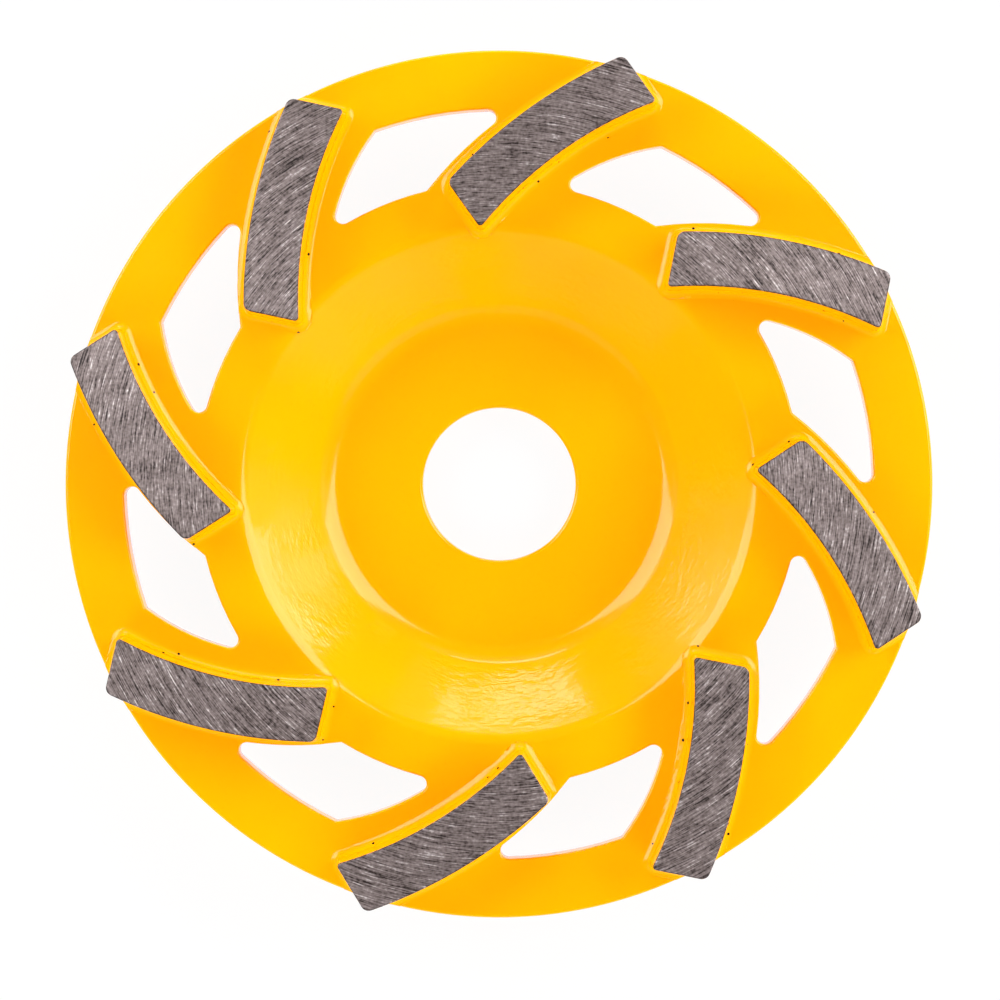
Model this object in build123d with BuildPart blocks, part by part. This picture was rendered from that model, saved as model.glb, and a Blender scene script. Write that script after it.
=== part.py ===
from build123d import *
import math
import os

# Diamond cup wheel: a pressed steel dish with a standard bore and eight punched windows, and eight
# curved diamond segments brazed on its flat ring.
# Millimetres. Z is the bore's axis and points to the grinding face. The wheel lies on the back of
# its hub, and the origin is the bore's centre there.

# Pressed dish, from the bore outwards
bore_radius = 11.115
bore_edge_bevel = 0.3
hub_seat_width = 11.785
bowl_width = 12.2
ring_width = 26.9
rim_edge_round = 0.4
sheet_thickness = 4.0

# How the sheet bends on its grinding side, in degrees from flat, and the bends' radii
hub_bend_radius = 4.4
hub_bend_tilt = 45.0
bowl_start_tilt = 33.0
bowl_end_tilt = 42.0
ridge_back_radius = 0.4
shoulder_back_radius = 0.4

# Segments. Each is turned clockwise from straight outwards, and its middle is set in from the rim.
segment_count = 8
segment_first_angle = 37.45
segment_turn = 49.3
segment_inset = 11.45
segment_width = 7.6
segment_length = 30.6
segment_height = 6.5
segment_window_side_radius = 69.7
segment_ring_side_radius = 57.5
segment_draft = 3.0
segment_window_side_round = 1.2
segment_ring_side_round = 0.5

# The segments are set by hand: how far each lies off its nominal place, outwards as a share of the
# slack, then round the ring and turned, both in degrees
placing_slack = 1.0
segment_offsets = [
    (-0.1, -0.05, -0.7),
    (-0.2, 0.1, -2.4),
    (-0.8, 0.6, 0.8),
    (0.45, 0.75, 1.4),
    (0.15, 0.05, 1.4),
    (0.7, -0.05, 1.9),
    (0.1, -0.5, -1.1),
    (-0.25, -0.95, -1.4),
]

# Braze metal round each segment's foot, which also fills what the foot spans past the flat ring
braze_leg = 1.2
braze_fill_depth = 0.6

# Windows punched between the segments. Angles are from the window's middle, which lags the
# segment's place. Both long sides bow outwards, and the two sharp tips are the rounder ones.
window_lag = 21.77
window_rim_land = 8.4
window_depth = 10.4
window_inner_start = -2.0
window_inner_end = 18.0
window_outer_start = -18.0
window_outer_end = 3.6
window_lead_side_radius = 52.9
window_trail_side_radius = 33.5
window_tip_round = 1.2
window_corner_round = 0.5

hub_flat_radius = bore_radius + hub_seat_width
bowl_outer_radius = hub_flat_radius + bowl_width
rim_radius = bowl_outer_radius + ring_width
window_outer_radius = rim_radius - window_rim_land
window_inner_radius = window_outer_radius - window_depth
pitch = 360 / segment_count


def sine(degrees):
    return math.sin(math.radians(degrees))


def cosine(degrees):
    return math.cos(math.radians(degrees))


def ring_point(radius, degrees):
    return (radius * cosine(degrees), radius * sine(degrees))


# Two of the sheet's bends turn the other way, so their outer radius is on the grinding side
ridge_radius = ridge_back_radius + sheet_thickness
shoulder_radius = shoulder_back_radius + sheet_thickness

# The bowl's wall is one arc between the ridge round the hub and the shoulder of the ring
ridge_end_radius = (
    hub_flat_radius
    + hub_bend_radius * sine(hub_bend_tilt)
    + ridge_radius * (sine(hub_bend_tilt) - sine(bowl_start_tilt))
)
bowl_arc_radius = (bowl_outer_radius - ridge_end_radius) / (sine(bowl_end_tilt) - sine(bowl_start_tilt))


def draw_sheet_side(depth):
    """Draw one side of the sheet from bore to rim, depth below the grinding side. Returns its ends."""
    level = sheet_thickness - depth
    hub = Line((bore_radius, level), (hub_flat_radius, level))
    hub_bend = JernArc(hub @ 1, hub % 1, hub_bend_radius + depth, hub_bend_tilt)
    ridge = JernArc(hub_bend @ 1, hub_bend % 1, ridge_radius - depth, bowl_start_tilt - hub_bend_tilt)
    bowl = JernArc(ridge @ 1, ridge % 1, bowl_arc_radius + depth, bowl_end_tilt - bowl_start_tilt)
    shoulder = JernArc(bowl @ 1, bowl % 1, shoulder_radius - depth, -bowl_end_tilt)
    ring = Line(shoulder @ 1, (rim_radius, (shoulder @ 1).Y))
    return hub @ 0, ring @ 1


# One window, about the X axis
with BuildSketch() as window:
    with BuildLine():
        inner_start = ring_point(window_inner_radius, window_inner_start)
        inner_end = ring_point(window_inner_radius, window_inner_end)
        outer_start = ring_point(window_outer_radius, window_outer_start)
        outer_end = ring_point(window_outer_radius, window_outer_end)
        RadiusArc(inner_start, inner_end, -window_inner_radius)
        RadiusArc(outer_start, outer_end, -window_outer_radius)
        RadiusArc(outer_start, inner_start, -window_lead_side_radius)
        RadiusArc(outer_end, inner_end, -window_trail_side_radius)
    make_face()
    for tip in (outer_start, inner_end):
        fillet(window.vertices().sort_by_distance(tip)[0], window_tip_round)
    for corner in (inner_start, outer_end):
        fillet(window.vertices().sort_by_distance(corner)[0], window_corner_round)

with BuildSketch() as windows:
    with PolarLocations(0, segment_count, segment_first_angle - window_lag):
        add(window.sketch)

# The dish is one pressing: revolved from its section, with its windows punched last
with BuildPart() as cup_body:
    with BuildSketch(Plane.XZ):
        with BuildLine():
            face_bore, face_rim = draw_sheet_side(0)
            back_bore, back_rim = draw_sheet_side(sheet_thickness)
            Line(face_bore, back_bore)
            Line(face_rim, back_rim)
        make_face()
    revolve(axis=Axis.Z)
    turned_edges = cup_body.edges().filter_by(lambda edge: edge.is_closed).group_by(SortBy.RADIUS)
    chamfer(turned_edges[0], bore_edge_bevel)
    fillet(turned_edges[-1], rim_edge_round)
    ring_face = cup_body.part.bounding_box().max.Z
    with BuildSketch(Plane.XY.offset(ring_face)):
        add(windows.sketch)
    extrude(amount=-sheet_thickness, mode=Mode.SUBTRACT)

cup_body.part.label = "cup_body"


# A segment's walls lean out from its ground face to its foot
foot_spread = segment_height * math.tan(math.radians(segment_draft))

# A segment's ground face about the origin, X outwards along it. It is a bowed bar with square ends,
# and its convex long side is the one by a window.
with BuildSketch() as ground_face:
    with Locations((0, segment_width / 2 - segment_window_side_radius)):
        Circle(segment_window_side_radius)
    with Locations((0, -segment_width / 2 - segment_ring_side_radius)):
        Circle(segment_ring_side_radius, mode=Mode.SUBTRACT)
    Rectangle(segment_length, 2 * segment_width, mode=Mode.INTERSECT)
    fillet(ground_face.vertices().sort_by(Axis.Y)[:2], segment_ring_side_round)
    fillet(ground_face.vertices().sort_by(Axis.Y)[-2:], segment_window_side_round)


def seat_plane(index):
    """The plane on the ring's face under one segment, with X outwards along the segment."""
    share_outwards, round_ring, turned = segment_offsets[index % len(segment_offsets)]
    radius = rim_radius - segment_inset + share_outwards * placing_slack
    angle = segment_first_angle + index * pitch + round_ring
    heading = angle - segment_turn - turned
    along = (cosine(heading), sine(heading), 0)
    return Plane(origin=(*ring_point(radius, angle), ring_face), x_dir=along, z_dir=(0, 0, 1))


segments = []
braze_seams = []
for index in range(segment_count):
    seat = seat_plane(index)

    with BuildPart() as segment:
        with BuildSketch(seat):
            add(ground_face.sketch)
        extrude(amount=segment_height)
        walls = segment.faces().filter_by(Plane.XY, reverse=True)
        draft(walls, seat.offset(segment_height), segment_draft)
    segment.part.label = f"segment_{index + 1}"
    segments.append(segment.part)

    # The bead is the cove between the segment's wall and the ring, cut off at the rim and windows
    with BuildPart() as braze_seam:
        with BuildSketch(seat):
            add(ground_face.sketch)
            offset(amount=foot_spread + 2 * braze_leg)
        extrude(amount=-braze_fill_depth)
        add(segment.part)
        plate_top = braze_seam.faces().filter_by(Plane.XY).group_by(Axis.Z)[1][0]
        fillet(plate_top.inner_wires()[0].edges(), braze_leg)
        split(bisect_by=seat, keep=Keep.TOP)
        extrude(braze_seam.faces().sort_by(Axis.Z)[0], amount=braze_fill_depth)
        with BuildSketch(Plane.XY.offset(ring_face)):
            Circle(rim_radius)
            add(windows.sketch, mode=Mode.SUBTRACT)
        extrude(amount=2 * braze_leg, both=True, mode=Mode.INTERSECT)
        add(cup_body.part, mode=Mode.SUBTRACT)
        add(segment.part, mode=Mode.SUBTRACT)
    braze_seam.part.label = f"braze_seam_{index + 1}"
    braze_seams.append(braze_seam.part)

os.makedirs("parts", exist_ok=True)
for piece in [cup_body.part, *segments, *braze_seams]:
    export_step(piece, f"parts/{piece.label}.step")
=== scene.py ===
import bmesh
import bpy
import math
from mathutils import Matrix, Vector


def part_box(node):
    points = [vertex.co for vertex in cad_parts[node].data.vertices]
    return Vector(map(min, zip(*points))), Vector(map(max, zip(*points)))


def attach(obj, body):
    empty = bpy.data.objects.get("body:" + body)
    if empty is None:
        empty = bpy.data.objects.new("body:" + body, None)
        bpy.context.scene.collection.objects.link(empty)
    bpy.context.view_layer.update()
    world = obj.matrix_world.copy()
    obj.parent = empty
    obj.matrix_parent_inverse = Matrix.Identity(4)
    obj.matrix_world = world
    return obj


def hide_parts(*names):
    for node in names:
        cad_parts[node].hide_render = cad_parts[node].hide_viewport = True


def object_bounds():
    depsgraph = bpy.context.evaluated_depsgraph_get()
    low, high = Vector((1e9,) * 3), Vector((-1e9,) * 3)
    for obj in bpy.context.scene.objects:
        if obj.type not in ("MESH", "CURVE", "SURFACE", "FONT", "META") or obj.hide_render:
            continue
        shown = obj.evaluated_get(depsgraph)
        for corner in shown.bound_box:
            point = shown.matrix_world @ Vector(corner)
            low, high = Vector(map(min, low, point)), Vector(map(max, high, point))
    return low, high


# Diamond cup wheel, lying on its hub with its grinding face up. Metres, Z along the bore.
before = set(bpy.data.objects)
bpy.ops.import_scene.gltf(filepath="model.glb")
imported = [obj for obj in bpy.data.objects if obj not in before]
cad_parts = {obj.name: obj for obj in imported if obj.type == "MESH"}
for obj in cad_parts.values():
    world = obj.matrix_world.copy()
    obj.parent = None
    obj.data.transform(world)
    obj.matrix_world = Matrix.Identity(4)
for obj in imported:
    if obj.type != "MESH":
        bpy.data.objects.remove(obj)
cad_low, cad_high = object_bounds()
mm = 0.001


# Pressed dish
# One disc of 4 mm steel sheet, pressed into a dish, with its bore and its eight windows punched
# last. It is powder coated all over in a warm yellow that is thick enough to soften every edge.
dish_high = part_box("cup_body")[1]
rim_radius = dish_high.x
ring_face = dish_high.z
sheet_thickness = 4.0 * mm
ring_back = ring_face - sheet_thickness
rim_edge_round = 0.4 * mm
bore_radius = 11.115 * mm
bore_edge_bevel = 0.3 * mm
hub_flat_radius = 22.9 * mm
hub_bend_radius = 5.0 * mm
wall_foot_tilt = 42.76
wall_head_tilt = 35
shoulder_radius = 3.2 * mm
ring_flat_radius = 37.45 * mm
windows_from_radius = 35.1 * mm
windows_rim_land = 5.0 * mm
window_edge_round = 0.3 * mm
edge_steps = 3
degrees_a_step = 2
spin_steps = 360
flat_margin = 0.5 * mm
edge_margin = 0.1 * mm
weld_distance = 0.001 * mm
node_weld_distance = 0.0005 * mm
smooth_angle = 35
flat_face_weight = 80

# The coat's gloss and relief. The press left wrinkles on the bowl's wall, between these radii.
paint_gloss_level = 0.4
peel_depth = 0.012 * mm
wrinkle_share = 11.0
wrinkles_start = 26 * mm
wrinkles_full = 27.5 * mm
wrinkles_fade = 33.5 * mm
wrinkles_end = 36 * mm


def sine(degrees):
    return math.sin(math.radians(degrees))


def cosine(degrees):
    return math.cos(math.radians(degrees))


def pick(piece):
    """Make one piece the active object, with nothing else selected."""
    bpy.ops.object.select_all(action="DESELECT")
    piece.select_set(True)
    bpy.context.view_layer.objects.active = piece


def open_mesh(piece):
    """Enter edit mode on one piece, with nothing in it selected."""
    pick(piece)
    bpy.ops.object.mode_set(mode="EDIT")
    bpy.ops.mesh.select_all(action="DESELECT")
    return bmesh.from_edit_mesh(piece.data)


def close_mesh():
    bpy.ops.object.mode_set(mode="OBJECT")


def choose(piece, mesh, kind, test):
    """Select the faces or edges of an open mesh that pass the test."""
    bpy.ops.mesh.select_mode(type=kind)
    for part in (mesh.faces if kind == "FACE" else mesh.edges):
        part.select_set(test(part))
    bmesh.update_edit_mesh(piece.data)


def arc(points, tilt, turn, radius):
    """Carry a section on from its last point along an arc, tilted from flat and turning up or down."""
    side = 1 if turn > 0 else -1
    start = points[-1]
    centre = (start[0] - side * radius * sine(tilt), start[1] + side * radius * cosine(tilt))
    steps = max(2, round(abs(turn) / degrees_a_step))
    for step in range(1, steps + 1):
        heading = tilt + turn * step / steps
        outwards = side * radius * sine(heading)
        downwards = side * radius * cosine(heading)
        points.append((centre[0] + outwards, centre[1] - downwards))


def sheet_side(depth):
    """One side of the sheet from hub to ring, depth below the grinding side, as radius and height.

    The back is bent sharp where the wall meets the ring, because the sheet is thicker than the bend.
    """
    wall_foot = hub_flat_radius + hub_bend_radius * sine(wall_foot_tilt)
    wall_head = ring_flat_radius - shoulder_radius * sine(wall_head_tilt)
    wall_radius = (wall_head - wall_foot) / (sine(wall_foot_tilt) - sine(wall_head_tilt))
    points = [(hub_flat_radius - flat_margin, sheet_thickness - depth)]
    points.append((hub_flat_radius, sheet_thickness - depth))
    arc(points, 0, wall_foot_tilt, hub_bend_radius + depth)
    arc(points, wall_foot_tilt, wall_head_tilt - wall_foot_tilt, wall_radius - depth)
    if depth < shoulder_radius:
        arc(points, wall_head_tilt, -wall_head_tilt, shoulder_radius - depth)
    else:
        points = [point for point in points if point[1] < ring_face - depth]
    points.append((points[-1][0] + flat_margin, ring_face - depth))
    return points


def dish_section():
    """The sheet's whole outline, round from the bore's top edge."""
    section = [(bore_radius, sheet_thickness - bore_edge_bevel)]
    section.append((bore_radius + bore_edge_bevel, sheet_thickness))
    section.append((bore_radius + bore_edge_bevel + edge_margin, sheet_thickness))
    section += sheet_side(0)
    section.append((rim_radius - rim_edge_round, ring_face))
    arc(section, 0, -90, rim_edge_round)
    section.append((rim_radius, ring_back + rim_edge_round))
    arc(section, -90, -90, rim_edge_round)
    section += reversed(sheet_side(sheet_thickness))
    section.append((bore_radius + bore_edge_bevel + edge_margin, 0))
    section.append((bore_radius + bore_edge_bevel, 0))
    section.append((bore_radius, bore_edge_bevel))
    return section


def spin_dish():
    """Draw the section point by point and spin it round the bore."""
    section = dish_section()
    bpy.ops.object.select_all(action="DESELECT")
    bpy.ops.mesh.primitive_plane_add(size=mm, location=(0, 0, 0))
    dish = bpy.context.object
    dish.name = "dish"
    bpy.ops.object.mode_set(mode="EDIT")
    bpy.ops.mesh.select_all(action="SELECT")
    bpy.ops.mesh.merge(type="CENTER")
    bpy.ops.transform.translate(value=(section[0][0], 0, section[0][1]))
    for last, point in zip(section, section[1:] + section[:1]):
        step = (point[0] - last[0], 0, point[1] - last[1])
        bpy.ops.mesh.extrude_region_move(TRANSFORM_OT_translate={"value": step})
    bpy.ops.mesh.select_all(action="SELECT")
    bpy.ops.mesh.remove_doubles(threshold=weld_distance)
    bpy.ops.mesh.spin(steps=spin_steps, angle=math.tau, center=(0, 0, 0), axis=(0, 0, 1))
    bpy.ops.mesh.select_all(action="SELECT")
    bpy.ops.mesh.remove_doubles(threshold=weld_distance)
    bpy.ops.mesh.normals_make_consistent(inside=False)
    close_mesh()
    return dish


def copy_node(node, name):
    """A piece with its own copy of a node's mesh, joined up where its triangles meet."""
    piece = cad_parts[node].copy()
    piece.data = piece.data.copy()
    piece.name = name
    piece.parent = None
    bpy.context.scene.collection.objects.link(piece)
    open_mesh(piece)
    bpy.ops.mesh.select_all(action="SELECT")
    bpy.ops.mesh.remove_doubles(threshold=node_weld_distance)
    bpy.ops.mesh.normals_make_consistent(inside=False)
    close_mesh()
    return piece


def among_windows(x, y):
    """Tell whether a place lies in the part of the ring that has the windows."""
    return windows_from_radius < math.hypot(x, y) < rim_radius - windows_rim_land


def window_punches():
    """Eight punches of the windows' own outline, taller than the sheet."""
    punches = copy_node("cup_body", "punches")
    mesh = open_mesh(punches)

    def beside_window(face):
        centre = face.calc_center_median()
        upright = abs(face.normal.z) < 0.1
        return upright and among_windows(centre.x, centre.y)

    choose(punches, mesh, "FACE", lambda face: not beside_window(face))
    bpy.ops.mesh.delete(type="FACE")
    bpy.ops.mesh.select_all(action="SELECT")
    middle = (0, 0, (ring_face + ring_back) / 2)
    bpy.ops.transform.resize(value=(1, 1, 2), center_override=middle)
    bpy.ops.mesh.fill_holes(sides=0)
    bpy.ops.mesh.select_all(action="SELECT")
    bpy.ops.mesh.normals_make_consistent(inside=False)
    close_mesh()
    return punches


def punch_windows(dish):
    """Cut the windows out of the ring and round their edges over."""
    punches = window_punches()
    pick(dish)
    cut = dish.modifiers.new("windows", "BOOLEAN")
    cut.operation = "DIFFERENCE"
    cut.solver = "EXACT"
    cut.object = punches
    bpy.ops.object.modifier_apply(modifier=cut.name)
    bpy.data.objects.remove(punches)

    mesh = open_mesh(dish)

    def at_window_edge(edge):
        start, end = (vertex.co for vertex in edge.verts)
        middle = (start + end) / 2
        level = abs(start.z - end.z) < 0.1 * mm
        sharp = edge.calc_face_angle(0) > math.radians(60)
        return sharp and level and among_windows(middle.x, middle.y)

    choose(dish, mesh, "EDGE", at_window_edge)
    bpy.ops.mesh.bevel(offset=window_edge_round, segments=edge_steps, clamp_overlap=False, loop_slide=False)
    close_mesh()


def soften(piece):
    """Shade a piece smooth, apart from sharp edges, and keep its large faces flat."""
    pick(piece)
    bpy.ops.object.shade_smooth_by_angle(angle=math.radians(smooth_angle))
    weight = piece.modifiers.new("flat faces", "WEIGHTED_NORMAL")
    weight.mode = "FACE_AREA"
    weight.weight = flat_face_weight
    weight.keep_sharp = True
    bpy.ops.object.modifier_apply(modifier=weight.name)


def add_node(tree, kind, label, **values):
    """Add a shader node and set its properties and its sockets' values by name."""
    node = tree.nodes.new(kind)
    node.label = label
    for name, value in values.items():
        if hasattr(node, name):
            setattr(node, name, value)
        else:
            node.inputs[name.replace("_", " ")].default_value = value
    return node


def new_material(name):
    """A new material with its shader, as (material, tree, shader)."""
    material = bpy.data.materials.new(name)
    material.use_nodes = True
    tree = material.node_tree
    return material, tree, tree.nodes["Principled BSDF"]


def spread(tree, source, low, high, to_low=0.0, to_high=1.0):
    """Stretch a value from between low and high to between two others, held at the ends."""
    node = add_node(tree, "ShaderNodeMapRange", "spread", clamp=True)
    tree.links.new(source, node.inputs["Value"])
    for name, value in (("From Min", low), ("From Max", high), ("To Min", to_low), ("To Max", to_high)):
        node.inputs[name].default_value = value
    return node.outputs["Result"]


def calculate(tree, operation, first, second):
    """One sum of two values, each a socket or a number."""
    node = add_node(tree, "ShaderNodeMath", operation.lower(), operation=operation)
    for slot, value in enumerate((first, second)):
        if isinstance(value, (int, float)):
            node.inputs[slot].default_value = value
        else:
            tree.links.new(value, node.inputs[slot])
    return node.outputs["Value"]


def blend_colours(tree, factor, first, second):
    """Go from the first colour to the second by a factor. Each colour is a socket or four numbers."""
    node = add_node(tree, "ShaderNodeMix", "colours", data_type="RGBA")
    tree.links.new(factor, node.inputs["Factor"])
    for name, value in (("A", first), ("B", second)):
        socket = [plug for plug in node.inputs if plug.name == name and plug.type == "RGBA"][0]
        if isinstance(value, tuple):
            socket.default_value = value
        else:
            tree.links.new(value, socket)
    return [plug for plug in node.outputs if plug.type == "RGBA"][0]


def noise(tree, place, label, scale, detail=2.0, roughness=0.5):
    """Noise over a place socket, scale in patches a metre."""
    node = add_node(tree, "ShaderNodeTexNoise", label, Scale=scale, Detail=detail, Roughness=roughness)
    tree.links.new(place, node.inputs["Vector"])
    return node.outputs["Fac"]


def split_place(tree, place):
    """A place's X, Y and Z."""
    split = add_node(tree, "ShaderNodeSeparateXYZ", "place")
    tree.links.new(place, split.inputs["Vector"])
    return split.outputs["X"], split.outputs["Y"], split.outputs["Z"]


def ring_place(tree, place, along, across):
    """Turn a place into one that follows circles round the bore, with no seam. Returns its radius too.

    along is patches for each radian of turn, and across is patches a metre outwards.
    """
    x, y = split_place(tree, place)[:2]
    squares = calculate(tree, "ADD", calculate(tree, "MULTIPLY", x, x), calculate(tree, "MULTIPLY", y, y))
    radius = calculate(tree, "MAXIMUM", calculate(tree, "SQRT", squares, 0), mm)
    join = add_node(tree, "ShaderNodeCombineXYZ", "ring place")
    turn_x = calculate(tree, "DIVIDE", x, radius)
    turn_y = calculate(tree, "DIVIDE", y, radius)
    tree.links.new(calculate(tree, "MULTIPLY", turn_x, along), join.inputs["X"])
    tree.links.new(calculate(tree, "MULTIPLY", turn_y, along), join.inputs["Y"])
    tree.links.new(calculate(tree, "MULTIPLY", radius, across), join.inputs["Z"])
    return join.outputs["Vector"], radius


def make_enamel_group():
    """The yellow coat: its colour, its gloss and the relief of its skin."""
    tree = bpy.data.node_groups.new("yellow enamel", "ShaderNodeTree")
    tree.interface.new_socket("Place", in_out="INPUT", socket_type="NodeSocketVector")
    tree.interface.new_socket("Colour", in_out="OUTPUT", socket_type="NodeSocketColor")
    tree.interface.new_socket("Roughness", in_out="OUTPUT", socket_type="NodeSocketFloat")
    tree.interface.new_socket("Relief", in_out="OUTPUT", socket_type="NodeSocketFloat")
    entry = tree.nodes.new("NodeGroupInput")
    exit_node = tree.nodes.new("NodeGroupOutput")
    place = entry.outputs["Place"]

    bright = (1.0, 0.455, 0.0, 1)
    deep = (0.99, 0.425, 0.0, 1)
    speck = (0.90, 0.35, 0.0, 1)
    clouds = spread(tree, noise(tree, place, "clouds", 45, 3), 0.35, 0.65)
    colour = blend_colours(tree, clouds, bright, deep)
    specks = spread(tree, noise(tree, place, "specks", 2600, 3, 0.6), 0.58, 0.78, 0, 0.35)
    colour = blend_colours(tree, specks, colour, speck)
    tree.links.new(colour, exit_node.inputs["Colour"])

    gloss = spread(tree, noise(tree, place, "gloss", 400, 2), 0.3, 0.7, 0.09, 0.13)
    tree.links.new(gloss, exit_node.inputs["Roughness"])

    peel = noise(tree, place, "orange peel", 900, 2, 0.4)
    grain = calculate(tree, "MULTIPLY", noise(tree, place, "grain", 3200, 2, 0.5), 0.18)
    wrinkle_place, radius = ring_place(tree, place, 16, 1500)
    wrinkles = noise(tree, wrinkle_place, "pressing wrinkles", 1, 2, 0.6)
    in_bowl = calculate(tree, "MULTIPLY", spread(tree, radius, wrinkles_start, wrinkles_full),
                        spread(tree, radius, wrinkles_end, wrinkles_fade, 0.1, 1.0))
    wrinkled = spread(tree, noise(tree, place, "wrinkled parts", 110, 1, 0.5), 0.40, 0.62, 0.3, 1.0)
    wrinkles = calculate(tree, "MULTIPLY", calculate(tree, "MULTIPLY", wrinkles, in_bowl), wrinkled)
    wrinkles = calculate(tree, "MULTIPLY", wrinkles, wrinkle_share)
    relief = calculate(tree, "ADD", calculate(tree, "ADD", peel, grain), wrinkles)
    tree.links.new(relief, exit_node.inputs["Relief"])
    return tree


enamel = make_enamel_group()


def add_enamel(tree):
    """Place the coat in a material. Returns the place, its colour, gloss and relief."""
    place = add_node(tree, "ShaderNodeTexCoord", "place").outputs["Object"]
    coat = tree.nodes.new("ShaderNodeGroup")
    coat.node_tree = enamel
    tree.links.new(place, coat.inputs["Place"])
    return place, coat.outputs["Colour"], coat.outputs["Roughness"], coat.outputs["Relief"]


def add_relief(tree, shader, height):
    """Give a shader its relief, where a height of one stands for the coat's peel depth."""
    bump = add_node(tree, "ShaderNodeBump", "relief", Strength=1.0, Distance=peel_depth)
    tree.links.new(height, bump.inputs["Height"])
    tree.links.new(bump.outputs["Normal"], shader.inputs["Normal"])


def make_enamel_material():
    material, tree, shader = new_material("yellow_enamel")
    colour, gloss, relief = add_enamel(tree)[1:]
    tree.links.new(colour, shader.inputs["Base Color"])
    tree.links.new(gloss, shader.inputs["Roughness"])
    add_relief(tree, shader, relief)
    shader.inputs["Specular IOR Level"].default_value = paint_gloss_level
    return material


yellow_enamel = make_enamel_material()


def finish_piece(piece, node, material):
    """Give a piece its finish and let it stand for its node."""
    piece.data.materials.clear()
    piece.data.materials.append(material)
    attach(piece, "root")
    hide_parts(node)


dish = spin_dish()
punch_windows(dish)
soften(dish)
finish_piece(dish, "cup_body", yellow_enamel)


# Diamond segments
# Eight bowed bars of metal powder and diamond grit, pressed and sintered. They are painted with the
# dish and then ground flat on top, so only the ground face shows the grey metal.
segment_count = 8
ground_face = cad_high.z
top_edge_round = 0.22 * mm
paint_line = 0.2 * mm
paint_raggedness = 0.3 * mm
scratch_depth = 0.045 * mm
# How far under the ground face the painted shade of the chipped edge reaches.
shaded_edge_depth = 0.06 * mm
metal_share = 0.4
metal_roughness = 0.34
metal_grain = 0.6
quarter_turn = 0.25

# Pores in the paint. Each has a cell of its own, and most cells are left clear: nearly all below the
# band under the ground face, and fewer at the band's head.
pore_cells_a_metre = 1400
pore_size = 0.30
pore_band_foot = 1.5 * mm
pore_band_head = 0.2 * mm
clear_share_below = 0.963
clear_share_at_head = 0.83
# The pores' near-black colour is painted shade in the holes.
pore_shade_colour = (0.02, 0.012, 0.004, 1)


def add_ground_metal(tree, place, height):
    """Ground matrix metal: scratches round the bore, pits and grit, with painted shade in the pits, grooves
    and chipped edges and a painted highlight on the brightest scratches. Returns colour and relief.
    """
    # The pit tone is painted shade in pits and scratch grooves, and the glint tone is a painted highlight
    # on the brightest scratches.
    pit_shade = (0.018, 0.012, 0.011, 1)
    matrix = (0.132, 0.101, 0.096, 1)
    pale = (0.32, 0.262, 0.255, 1)
    painted_glint = (0.74, 0.685, 0.675, 1)
    long_place = ring_place(tree, place, 9, 5600)[0]
    short_place = ring_place(tree, place, 30, 6600)[0]
    long_scratches = noise(tree, long_place, "long scratches", 1, 1, 0.5)
    short_scratches = noise(tree, short_place, "short scratches", 1, 1, 0.5)
    grit = noise(tree, place, "grit", 2300, 1, 0.5)
    patches = noise(tree, place, "patches", 420, 2, 0.5)
    scratches = calculate(tree, "ADD", calculate(tree, "MULTIPLY", long_scratches, 0.5),
                          calculate(tree, "MULTIPLY", short_scratches, 0.5))
    shade = calculate(tree, "ADD", scratches, calculate(tree, "MULTIPLY", grit, 0.30))
    shade = calculate(tree, "ADD", shade, calculate(tree, "MULTIPLY", patches, 0.15))
    colour = pit_shade
    for low, high, tone in ((0.56, 0.66, matrix), (0.66, 0.86, pale), (0.86, 0.96, painted_glint)):
        colour = blend_colours(tree, spread(tree, shade, low, high), colour, tone)
    # Painted shade: the metal goes to the pit tone in broken patches just under the top edge, for the shade
    # in its chips.
    shaded_edge_band = spread(tree, height, ground_face - shaded_edge_depth, ground_face - 0.005 * mm, 1.0, 0.0)
    chip_shade_patches = spread(tree, noise(tree, place, "chip_shade_patches", 2200, 2, 0.6), 0.40, 0.50)
    colour = blend_colours(tree, calculate(tree, "MULTIPLY", shaded_edge_band, chip_shade_patches), colour, pit_shade)
    return colour, scratches


def make_pores_group():
    """Pores through the paint, a few on the beads and walls and more close under the ground face."""
    tree = bpy.data.node_groups.new("paint pores", "ShaderNodeTree")
    tree.interface.new_socket("Place", in_out="INPUT", socket_type="NodeSocketVector")
    tree.interface.new_socket("Pores", in_out="OUTPUT", socket_type="NodeSocketFloat")
    place = tree.nodes.new("NodeGroupInput").outputs["Place"]
    exit_node = tree.nodes.new("NodeGroupOutput")

    height = split_place(tree, place)[2]
    cells = add_node(tree, "ShaderNodeTexVoronoi", "pores", Scale=pore_cells_a_metre)
    tree.links.new(place, cells.inputs["Vector"])
    chance = add_node(tree, "ShaderNodeSeparateColor", "chance")
    tree.links.new(cells.outputs["Color"], chance.inputs["Color"])
    near = calculate(tree, "LESS_THAN", cells.outputs["Distance"], pore_size)
    clear_share = spread(tree, height, ground_face - pore_band_foot, ground_face - pore_band_head,
                         clear_share_below, clear_share_at_head)
    chosen = calculate(tree, "GREATER_THAN", chance.outputs["Red"], clear_share)
    tree.links.new(calculate(tree, "MULTIPLY", near, chosen), exit_node.inputs["Pores"])
    return tree


paint_pores = make_pores_group()


def add_pores(tree, place):
    """Place the pores in a material. Returns their mask."""
    pores = tree.nodes.new("ShaderNodeGroup")
    pores.node_tree = paint_pores
    tree.links.new(place, pores.inputs["Place"])
    return pores.outputs["Pores"]


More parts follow.
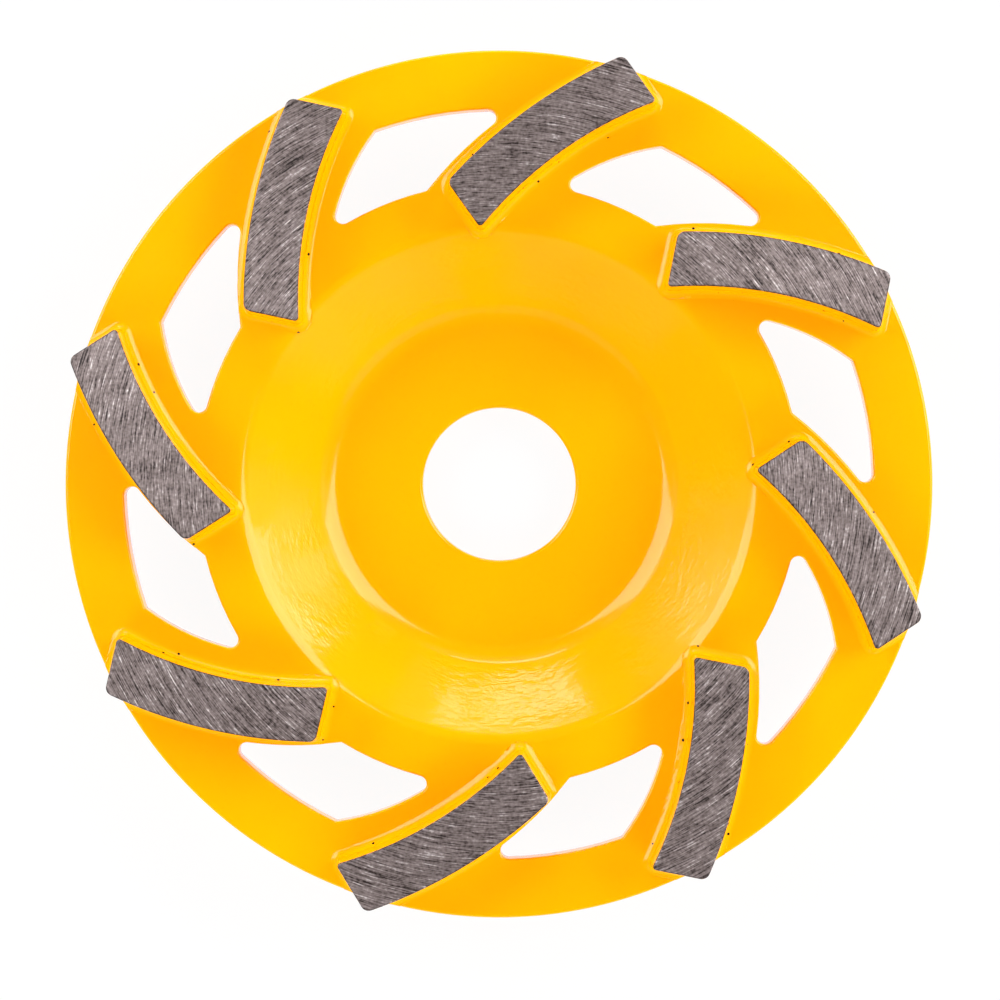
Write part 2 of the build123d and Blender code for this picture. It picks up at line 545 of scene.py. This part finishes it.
def make_segment_material():
    material, tree, shader = new_material("segment_metal")
    place, paint, paint_gloss, paint_relief = add_enamel(tree)
    height = split_place(tree, place)[2]
    metal, metal_relief = add_ground_metal(tree, place, height)

    # The ground face begins where the grinding cut the paint off, a ragged line along the top edges.
    ragged = calculate(tree, "MULTIPLY", noise(tree, place, "ragged edge", 2200, 3, 0.6), paint_raggedness)
    level = calculate(tree, "ADD", height, ragged)
    cut = ground_face - paint_line + paint_raggedness / 2
    ground = spread(tree, level, cut - 0.01 * mm, cut + 0.01 * mm)

    pores = add_pores(tree, place)
    # Painted shade: the pores are coloured near-black.
    paint = blend_colours(tree, pores, paint, pore_shade_colour)
    colour = blend_colours(tree, ground, paint, metal)
    tree.links.new(colour, shader.inputs["Base Color"])
    gloss = add_node(tree, "ShaderNodeMix", "gloss", data_type="FLOAT")
    tree.links.new(ground, gloss.inputs[0])
    tree.links.new(paint_gloss, gloss.inputs[2])
    gloss.inputs[3].default_value = metal_roughness
    tree.links.new(gloss.outputs[0], shader.inputs["Roughness"])
    tree.links.new(calculate(tree, "MULTIPLY", ground, metal_share), shader.inputs["Metallic"])

    # The scratches run round the bore and draw the lamps' reflections out across them.
    tree.links.new(calculate(tree, "MULTIPLY", ground, metal_grain), shader.inputs["Anisotropic"])
    shader.inputs["Anisotropic Rotation"].default_value = quarter_turn
    round_bore = add_node(tree, "ShaderNodeVectorMath", "round the bore", operation="CROSS_PRODUCT")
    round_bore.inputs[0].default_value = (0, 0, 1)
    tree.links.new(place, round_bore.inputs[1])
    along = add_node(tree, "ShaderNodeVectorMath", "along the scratches", operation="NORMALIZE")
    tree.links.new(round_bore.outputs["Vector"], along.inputs[0])
    tree.links.new(along.outputs["Vector"], shader.inputs["Tangent"])

    painted = calculate(tree, "SUBTRACT", 1, ground)
    skin = calculate(tree, "MULTIPLY", calculate(tree, "SUBTRACT", paint_relief, pores), painted)
    scored = calculate(tree, "MULTIPLY", metal_relief, ground)
    scored = calculate(tree, "MULTIPLY", scored, scratch_depth / peel_depth)
    add_relief(tree, shader, calculate(tree, "ADD", skin, scored))
    return material


segment_metal = make_segment_material()


def round_top_edge(segment):
    """Make the ground face one face and break its edge."""
    mesh = open_mesh(segment)
    choose(segment, mesh, "FACE", lambda face: abs(face.normal.z) > 0.999)
    bpy.ops.mesh.dissolve_limited(angle_limit=math.radians(0.1))
    mesh = bmesh.from_edit_mesh(segment.data)

    def at_top(edge):
        lowest = min(vertex.co.z for vertex in edge.verts)
        return lowest > ground_face - 0.01 * mm and edge.calc_face_angle(0) > math.radians(45)

    choose(segment, mesh, "EDGE", at_top)
    bpy.ops.mesh.bevel(offset=top_edge_round, segments=edge_steps, clamp_overlap=False)
    close_mesh()


for number in range(1, segment_count + 1):
    segment = copy_node(f"segment_{number}", f"segment_{number}_bar")
    round_top_edge(segment)
    soften(segment)
    finish_piece(segment, f"segment_{number}", segment_metal)


# Braze seams
# The beads of braze metal round the segments' feet, which drew up into the corner as they melted.
# The paint runs over them with a few pores, in one skin with the dish and the segments' walls.
def make_bead_material():
    material, tree, shader = new_material("painted_braze")
    place, paint, gloss, relief = add_enamel(tree)
    pores = add_pores(tree, place)
    # Painted shade: the pores are coloured near-black.
    tree.links.new(blend_colours(tree, pores, paint, pore_shade_colour), shader.inputs["Base Color"])
    tree.links.new(gloss, shader.inputs["Roughness"])
    add_relief(tree, shader, calculate(tree, "SUBTRACT", relief, pores))
    shader.inputs["Specular IOR Level"].default_value = paint_gloss_level
    return material


painted_braze = make_bead_material()

for number in range(1, segment_count + 1):
    seam = copy_node(f"braze_seam_{number}", f"braze_bead_{number}")
    soften(seam)
    finish_piece(seam, f"braze_seam_{number}", painted_braze)


# Floor
# A plain white table top, wide enough to fill any view. The camera sees most of it as even white,
# and the rest is lit by the lamps, so that it keeps a pale shadow of the wheel.
floor_size = 40
floor_colour = (0.9, 0.9, 0.9, 1)
floor_roughness = 0.9
floor_evenness = 0.93


def make_floor_material():
    material, tree, shader = new_material("white_floor")
    shader.inputs["Base Color"].default_value = floor_colour
    shader.inputs["Roughness"].default_value = floor_roughness
    shader.inputs["Specular IOR Level"].default_value = 0.0
    rays = add_node(tree, "ShaderNodeLightPath", "rays")
    seen = calculate(tree, "MAXIMUM", rays.outputs["Is Camera Ray"], rays.outputs["Is Glossy Ray"])
    seen = calculate(tree, "MAXIMUM", seen, rays.outputs["Is Transmission Ray"])
    white = add_node(tree, "ShaderNodeEmission", "even white", Strength=1.0)
    mix = add_node(tree, "ShaderNodeMixShader", "shadow or white")
    tree.links.new(calculate(tree, "MULTIPLY", seen, floor_evenness), mix.inputs["Fac"])
    tree.links.new(shader.outputs["BSDF"], mix.inputs[1])
    tree.links.new(white.outputs["Emission"], mix.inputs[2])
    tree.links.new(mix.outputs["Shader"], tree.nodes["Material Output"].inputs["Surface"])
    return material


bpy.ops.object.select_all(action="DESELECT")
bpy.ops.mesh.primitive_plane_add(size=floor_size, location=(0, 0, 0))
floor = bpy.context.object
floor.name = "floor"
floor.data.materials.append(make_floor_material())


# Lamps and sky
# Softboxes show in the gloss of the paint and the metal: tall ones right and left of the wheel with
# their dimmer spill below, and a low one above it in the picture. Fills all round give the light,
# and the sky is dark overhead, so that the flats stay a full yellow.
lamp_distance = 1.2

# Each softbox's name, then its turn, height, width and tallness in degrees, and its radiance.
gloss_softboxes = (
    ("right_softbox", 26, 48, 29, 50, 5.0),
    ("right_glow", 22, 17, 30, 10, 0.6),
    ("right_spill", 25, 15, 11, 11, 1.3),
    ("left_softbox", 155, 49, 28, 48, 5.0),
    ("left_glow", 153, 20, 20, 8, 0.5),
    ("left_spill", 151, 18, 9, 8, 0.7),
    ("upper_softbox", 99, 15.5, 18, 8, 4.6),
    ("upper_band", 94, 21, 34, 6, 4.6),
)
fill_softboxes = (
    ("fill_20", 20, 25, 45, 35, 6.3),
    ("fill_90", 90, 22, 45, 35, 4.3),
    ("fill_155", 155, 25, 45, 35, 5.2),
    ("fill_245", 245, 28, 45, 35, 3.9),
    ("fill_305", 305, 28, 45, 35, 4.1),
)

# How bright the sky is at the horizon and overhead, and between which heights it darkens.
horizon_strength = 0.9
overhead_strength = 0.03
horizon_height = 0.02
overhead_height = 0.07


def add_softbox(name, turn, height, width, tall, radiance, mirrored):
    """A softbox seen from the wheel at a turn and height in degrees, with its size in degrees too.

    A mirrored one shows in the gloss, and the others give the light.
    """
    across = 2 * lamp_distance * math.tan(math.radians(width / 2))
    upright = 2 * lamp_distance * math.tan(math.radians(tall / 2))
    data = bpy.data.lights.new(name, "AREA")
    data.shape = "RECTANGLE"
    data.size = across
    data.size_y = upright
    data.energy = radiance * math.pi * across * upright
    lamp = bpy.data.objects.new(name, data)
    bpy.context.scene.collection.objects.link(lamp)
    lamp.location = (
        lamp_distance * cosine(height) * cosine(turn),
        lamp_distance * cosine(height) * sine(turn),
        lamp_distance * sine(height),
    )
    lamp.rotation_euler = (-lamp.location).to_track_quat("-Z", "Y").to_euler()
    lamp.visible_camera = False
    lamp.visible_glossy = mirrored
    lamp.visible_diffuse = not mirrored


for softbox in gloss_softboxes:
    add_softbox(*softbox, mirrored=True)
for softbox in fill_softboxes:
    add_softbox(*softbox, mirrored=False)


def make_sky():
    world = bpy.data.worlds.new("sky")
    world.use_nodes = True
    tree = world.node_tree
    sky = tree.nodes["Background"]
    direction = add_node(tree, "ShaderNodeTexCoord", "direction").outputs["Generated"]
    height = split_place(tree, direction)[2]
    haze = spread(tree, height, horizon_height, overhead_height, horizon_strength, overhead_strength)
    rays = add_node(tree, "ShaderNodeLightPath", "rays")
    strength = calculate(tree, "MAXIMUM", haze, rays.outputs["Is Camera Ray"])
    tree.links.new(strength, sky.inputs["Strength"])
    sky.inputs["Color"].default_value = (1, 1, 1, 1)
    bpy.context.scene.world = world


make_sky()
bpy.context.scene.view_settings.view_transform = "Standard"


# Camera
# It looks almost straight down on the grinding face, from about half a metre, through a long lens.
camera_height = 520 * mm
camera_offset = (6.6 * mm, 1.3 * mm)
camera_aim = (0.24 * mm, -2.24 * mm)
camera_lens = 131
sensor_width = 36

camera_data = bpy.data.cameras.new("camera")
camera_data.lens = camera_lens
camera_data.sensor_width = sensor_width
camera = bpy.data.objects.new("camera", camera_data)
bpy.context.scene.collection.objects.link(camera)
camera.location = (camera_offset[0], camera_offset[1], ring_face + camera_height)
camera.rotation_euler = (
    math.atan2(camera_aim[1] - camera_offset[1], camera_height),
    -math.atan2(camera_aim[0] - camera_offset[0], camera_height),
    0,
)
bpy.context.scene.camera = camera
